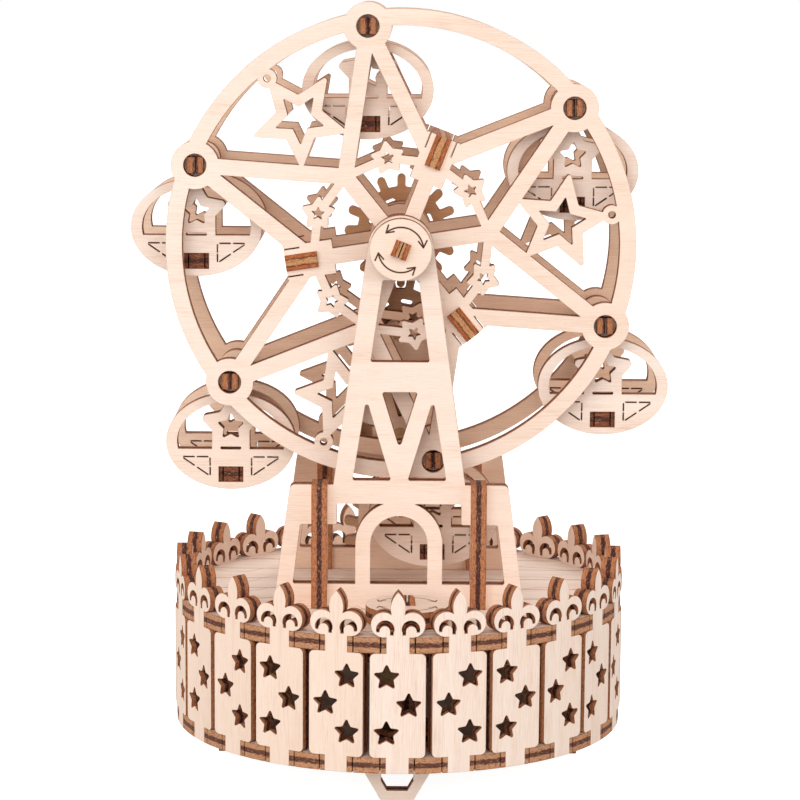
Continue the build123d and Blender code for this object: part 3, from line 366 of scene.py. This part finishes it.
def dress(node, face=None, edge=None, rear=None):
    """Gives a node its face, edge, engraving and rear face materials and their attributes."""
    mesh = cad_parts[node].data
    for material in (face or FACE, edge or EDGE, CHAR, rear or face or FACE):
        mesh.materials.append(material)
    points = np.zeros(len(mesh.vertices) * 3)
    mesh.vertices.foreach_get("co", points)
    points = points.reshape(-1, 3) / MM
    across = across_of(node, points)
    up = np.tile(np.array((0.0, 0.0, 1.0)), (len(points), 1))
    flat = np.abs(across[:, 2:3]) > LEVEL_LIMIT
    along = np.where(flat, np.array((1.0, 0.0, 0.0)), np.cross(up, across))
    if node.startswith("fence"):
        along = up
    side = np.cross(across, along)
    depth = (points * across).sum(1)
    low, high = depth.min(), depth.max()
    dice = random.Random(node)
    shift = np.array([dice.uniform(-SHIFT_REACH, SHIFT_REACH) for _ in range(3)])
    if node == "platform":
        shift[:] = 0
    grain = np.stack([(points * along).sum(1), (points * side).sum(1), depth], axis=1) + shift
    mesh.attributes.new("grain", "FLOAT_VECTOR", "POINT")
    mesh.attributes.new("ply", "FLOAT", "POINT")
    mesh.attributes["grain"].data.foreach_set("vector", grain.ravel())
    mesh.attributes["ply"].data.foreach_set("value", (depth - low) / (high - low))

    centers = np.zeros(len(mesh.polygons) * 3)
    normals = np.zeros(len(mesh.polygons) * 3)
    mesh.polygons.foreach_get("center", centers)
    mesh.polygons.foreach_get("normal", normals)
    centers, normals = centers.reshape(-1, 3) / MM, normals.reshape(-1, 3)
    poly_across = across_of(node, centers)
    lean = (normals * poly_across).sum(1)
    facing = np.abs(lean) > FACE_LIMIT
    share = ((centers * poly_across).sum(1) - low) / (high - low)
    inside = (share > FLAT_SHARE) & (share < 1 - FLAT_SHARE)
    engraved = facing & inside & (node in ENGRAVED)
    sides = np.where(lean > 0, REAR_SLOT, FACE_SLOT)
    slots = np.where(engraved, ENGRAVED_SLOT, np.where(facing, sides, EDGE_SLOT))
    mesh.polygons.foreach_set("material_index", slots.astype(np.int32))
    mesh.update()


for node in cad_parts:
    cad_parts[node].data.materials.clear()
    if node in DOWELS:
        dress(node, face=DOWEL, edge=DOWEL)
    elif node == "platform":
        dress(node, face=DECK, edge=PLATE_EDGE)
    elif node == "base_plate":
        dress(node, edge=PLATE_EDGE)
    elif node.endswith("_floor"):
        dress(node, edge=TAB_EDGE)
    elif node.startswith("crossbar") or node == "wheel_axle":
        dress(node, edge=BAR_EDGE)
    # Pieces inside the drum: painted shade on all their faces.
    elif node in IN_THE_DRUM:
        dress(node, face=INSIDE_PAINTED_SHADE)
    # Gears: painted shade on the faces turned to the camera, plain veneer on the faces turned away.
    elif "gear" in node:
        dress(node, face=GEAR_PAINTED_SHADE, rear=FACE)
    # Rear boards: painted shade on the faces turned to the camera, plain veneer on the faces turned away.
    elif node.startswith("rear") or node.endswith("rear_side"):
        dress(node, face=BACK_PAINTED_SHADE, rear=FACE)
    else:
        dress(node)


# --- floor, lamps and world --------------------------------------------------
FLOOR_SIZE = 6.0
# Name, place, point looked at, size and power in watts.
LAMPS = (("key", (-0.3, -1.0, 0.5), (0, 0, 0.09), 0.8, 4.6),
         ("right_fill", (0.85, -0.7, 0.3), (0, 0, 0.08), 0.8, 2.5),
         ("left_fill", (-0.9, -0.5, 0.25), (0, 0, 0.08), 0.8, 1.9),
         ("back", (0.2, 0.9, 0.7), (0, 0, 0.1), 0.7, 4.6))
FLOOR_TONE = 0.5
FLOOR_GLOW = 0.9
WORLD_LIGHT = 0.72
WORLD_TINT = (1.0, 0.95, 0.9, 1)
WHITE = (1, 1, 1, 1)


def seen_directly(tree):
    """1 for a camera, glossy or transmission ray, else 0."""
    path = tree.nodes.new("ShaderNodeLightPath")
    result = path.outputs["Is Camera Ray"]
    for kind in ("Is Glossy Ray", "Is Transmission Ray"):
        either = tree.nodes.new("ShaderNodeMath")
        either.operation = "MAXIMUM"
        tree.links.new(result, either.inputs[0])
        tree.links.new(path.outputs[kind], either.inputs[1])
        result = either.outputs[0]
    return result


def make_floor():
    """Pale floor that looks white and keeps the toy's shadow."""
    floor_paint = Nodes("floor_white")
    shader = floor_paint.shader
    shader.inputs["Base Color"].default_value = (FLOOR_TONE, FLOOR_TONE, FLOOR_TONE, 1)
    shader.inputs["Roughness"].default_value = 1.0
    shader.inputs["Specular IOR Level"].default_value = 0.0
    shader.inputs["Emission Color"].default_value = WHITE
    glow = floor_paint.math("MULTIPLY", seen_directly(floor_paint.tree), FLOOR_GLOW)
    floor_paint.link(glow, shader.inputs["Emission Strength"])
    mesh = bpy.data.meshes.new("floor")
    corners = [(-FLOOR_SIZE, -FLOOR_SIZE, 0), (FLOOR_SIZE, -FLOOR_SIZE, 0),
               (FLOOR_SIZE, FLOOR_SIZE, 0), (-FLOOR_SIZE, FLOOR_SIZE, 0)]
    mesh.from_pydata(corners, [], [(0, 1, 2, 3)])
    floor = bpy.data.objects.new("floor", mesh)
    bpy.context.scene.collection.objects.link(floor)
    mesh.materials.append(floor_paint.material)


def lamp(name, place, target, size, power):
    """Soft square lamp that looks at a point."""
    data = bpy.data.lights.new(name, "AREA")
    data.shape = "SQUARE"
    data.size = size
    data.energy = power
    light = bpy.data.objects.new(name, data)
    bpy.context.scene.collection.objects.link(light)
    way = Vector(target) - Vector(place)
    light.matrix_world = Matrix.Translation(place) @ way.to_track_quat("-Z", "Y").to_matrix().to_4x4()


def make_world():
    """White background for the eye and soft light for the toy."""
    world = bpy.data.worlds.new("world")
    bpy.context.scene.world = world
    world.use_nodes = True
    tree = world.node_tree
    tree.nodes.clear()
    output = tree.nodes.new("ShaderNodeOutputWorld")
    light = tree.nodes.new("ShaderNodeBackground")
    light.inputs["Color"].default_value = WORLD_TINT
    light.inputs["Strength"].default_value = WORLD_LIGHT
    white = tree.nodes.new("ShaderNodeBackground")
    white.inputs["Color"].default_value = WHITE
    white.inputs["Strength"].default_value = 1.0
    mix = tree.nodes.new("ShaderNodeMixShader")
    tree.links.new(seen_directly(tree), mix.inputs[0])
    tree.links.new(light.outputs[0], mix.inputs[1])
    tree.links.new(white.outputs[0], mix.inputs[2])
    tree.links.new(mix.outputs[0], output.inputs["Surface"])


make_camera()
make_floor()
make_world()
for lamp_row in LAMPS:
    lamp(*lamp_row)
bpy.context.scene.view_settings.view_transform = "Standard"
